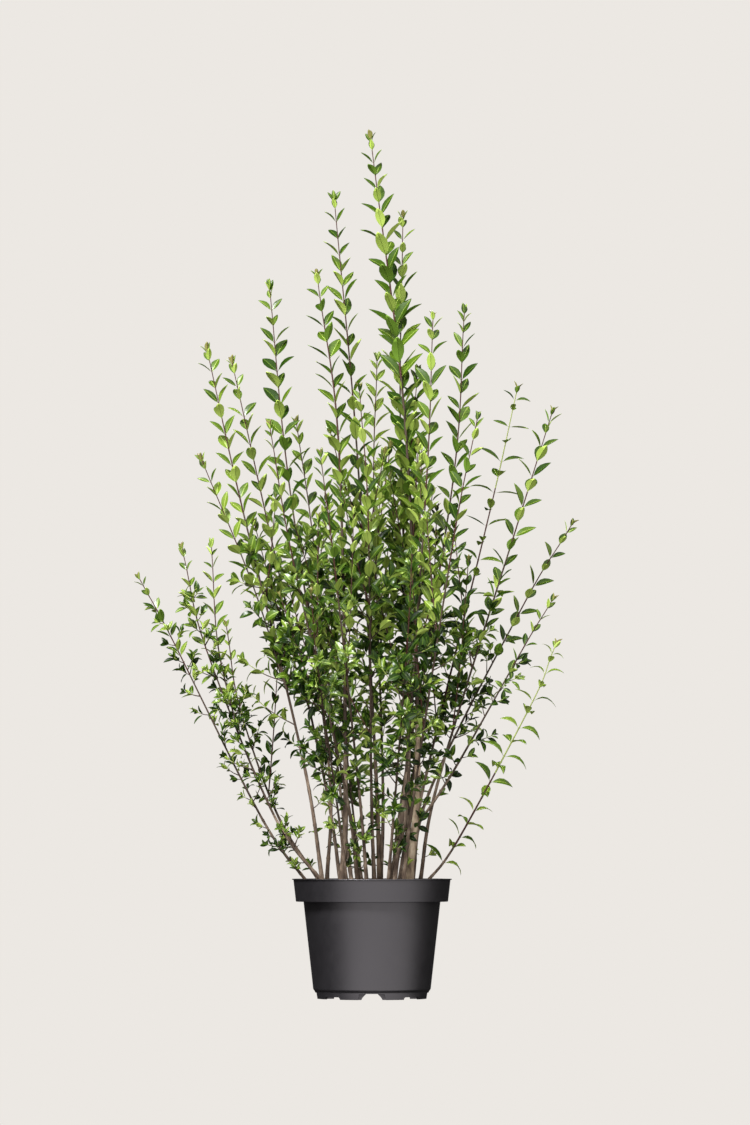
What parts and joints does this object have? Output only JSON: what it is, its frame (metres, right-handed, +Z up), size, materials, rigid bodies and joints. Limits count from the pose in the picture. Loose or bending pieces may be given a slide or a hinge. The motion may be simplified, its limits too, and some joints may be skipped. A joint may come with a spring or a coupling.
{
  "type": "potted privet",
  "caption": "Young privet shrub: upright leafy whips from one root, in a round dark nursery pot with a collar and a notched foot.",
  "frame": {"origin": "on the floor under the middle of the plant's spread; the pot's axis stands at x = 0.026 m", "axes": "+Z up along the stems, +X to the right and +Y to the back as in the picture"},
  "size_m": [0.7373, 0.6744, 1.4285],
  "materials": {
    "pot_plastic": "satin moulded dark grey plastic",
    "compost": "moist brown bark compost",
    "bark": "grey-brown bark with pale pores",
    "foliage": "glossy dark green leaves, paler beneath, on brown to green twigs"
  },
  "bodies": {
    "root": {"pot": "pot_plastic", "compost": "compost", "stem_leader": "bark", "foliage_leader": "foliage", "stem_partner": "bark", "foliage_partner": "foliage", "stem_north_spire": "bark", "foliage_north_spire": "foliage", "stem_west_spire": "bark", "foliage_west_spire": "foliage", "stem_slim_spire": "bark", "foliage_slim_spire": "foliage", "stem_west_lean": "bark", "foliage_west_lean": "foliage", "stem_west_back": "bark", "foliage_west_back": "foliage", "stem_west_front": "bark", "foliage_west_front": "foliage", "stem_rear_west": "bark", "foliage_rear_west": "foliage", "stem_front_west": "bark", "foliage_front_west": "foliage", "stem_rear_mid": "bark", "foliage_rear_mid": "foliage", "stem_front_mid": "bark", "foliage_front_mid": "foliage", "stem_east_front": "bark", "foliage_east_front": "foliage", "stem_east_back": "bark", "foliage_east_back": "foliage", "stem_east_low": "bark", "foliage_east_low": "foliage", "stem_east_lean": "bark", "foliage_east_lean": "foliage", "stem_far_east": "bark", "foliage_far_east": "foliage", "stem_east_wing": "bark", "foliage_east_wing": "foliage", "stem_side_branch": "bark", "foliage_side_branch": "foliage", "stem_lone_shoot": "bark", "foliage_lone_shoot": "foliage", "stem_far_west": "bark", "foliage_far_west": "foliage", "stem_low_west": "bark", "foliage_low_west": "foliage", "stem_low_west_back": "bark", "foliage_low_west_back": "foliage", "stem_front_east": "bark", "foliage_front_east": "foliage", "stem_front_low": "bark", "foliage_front_low": "foliage", "stem_rear_east": "bark", "foliage_rear_east": "foliage", "stem_rear_low": "bark", "foliage_rear_low": "foliage"}
  },
  "joints": []
}
